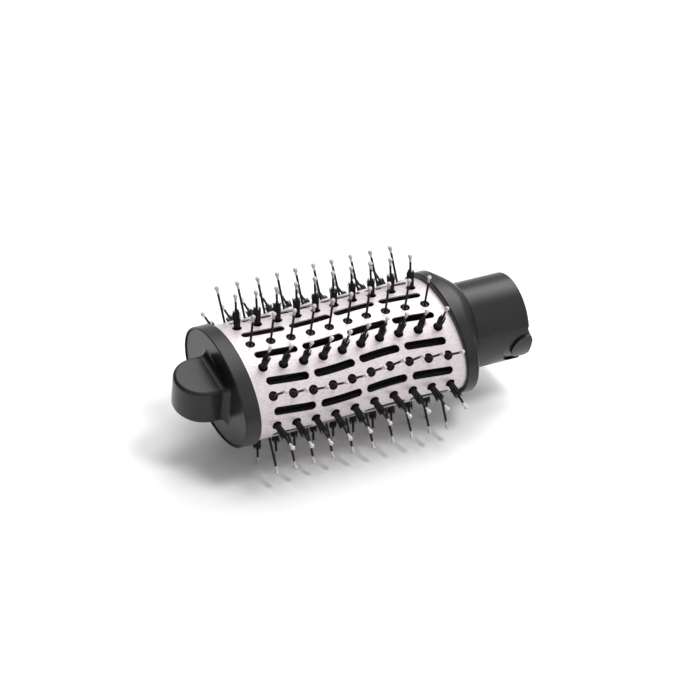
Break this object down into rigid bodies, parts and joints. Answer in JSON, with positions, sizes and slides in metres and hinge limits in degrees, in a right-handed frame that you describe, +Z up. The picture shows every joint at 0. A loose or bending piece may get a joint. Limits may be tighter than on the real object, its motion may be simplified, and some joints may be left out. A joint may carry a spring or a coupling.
{
  "type": "hot air brush head",
  "caption": "Oval hot air brush head: perforated barrel with rows of ball-tipped pins and bristle tufts, closed cap with D-shaped cool grip, round coupling neck.",
  "frame": {"origin": "centre of the neck's mouth, on the axis of the socket", "axes": "+X along the barrel's axis out of the neck's mouth, +Z up with the head lying on its bristles, so that the section's long axis is rolled 8.2 degrees and its -Y end is the lower one"},
  "size_m": [0.1332, 0.076, 0.0586],
  "materials": {
    "barrel_coating": "satin",
    "strip_plastic": "matte",
    "ball_resin": "gloss",
    "tuft_nylon": "matte",
    "cap_plastic": "satin",
    "neck_plastic": "satin",
    "trim_plastic": "gloss",
    "core_plastic": "matte",
    "gasket_rubber": "matte",
    "screw_steel": "satin"
  },
  "bodies": {
    "root": {"barrel": "barrel_coating", "bristle_strip_01": "strip_plastic", "bristle_strip_02": "strip_plastic", "bristle_strip_03": "strip_plastic", "bristle_strip_04": "strip_plastic", "bristle_strip_05": "strip_plastic", "bristle_strip_06": "strip_plastic", "bristle_strip_07": "strip_plastic", "bristle_strip_08": "strip_plastic", "bristle_strip_09": "strip_plastic", "bristle_strip_10": "strip_plastic", "bristle_strip_11": "strip_plastic", "bristle_strip_12": "strip_plastic", "pin_balls_01": "ball_resin", "pin_balls_02": "ball_resin", "pin_balls_03": "ball_resin", "pin_balls_04": "ball_resin", "pin_balls_05": "ball_resin", "pin_balls_06": "ball_resin", "pin_balls_07": "ball_resin", "pin_balls_08": "ball_resin", "pin_balls_09": "ball_resin", "pin_balls_10": "ball_resin", "pin_balls_11": "ball_resin", "pin_balls_12": "ball_resin", "bristle_tufts_02": "tuft_nylon", "bristle_tufts_04": "tuft_nylon", "bristle_tufts_06": "tuft_nylon", "bristle_tufts_08": "tuft_nylon", "bristle_tufts_10": "tuft_nylon", "bristle_tufts_12": "tuft_nylon", "front_ring": "cap_plastic", "front_cap": "cap_plastic", "front_gasket": "gasket_rubber", "rear_gasket": "gasket_rubber", "front_end_plate": "core_plastic", "rear_end_ring": "core_plastic", "core_frame": "core_plastic", "air_deflector": "core_plastic", "rear_collar": "neck_plastic", "neck_trim_ring": "trim_plastic", "neck_sleeve": "neck_plastic", "neck_seal": "gasket_rubber", "cap_screws": "screw_steel", "collar_screws": "screw_steel"}
  },
  "joints": []
}
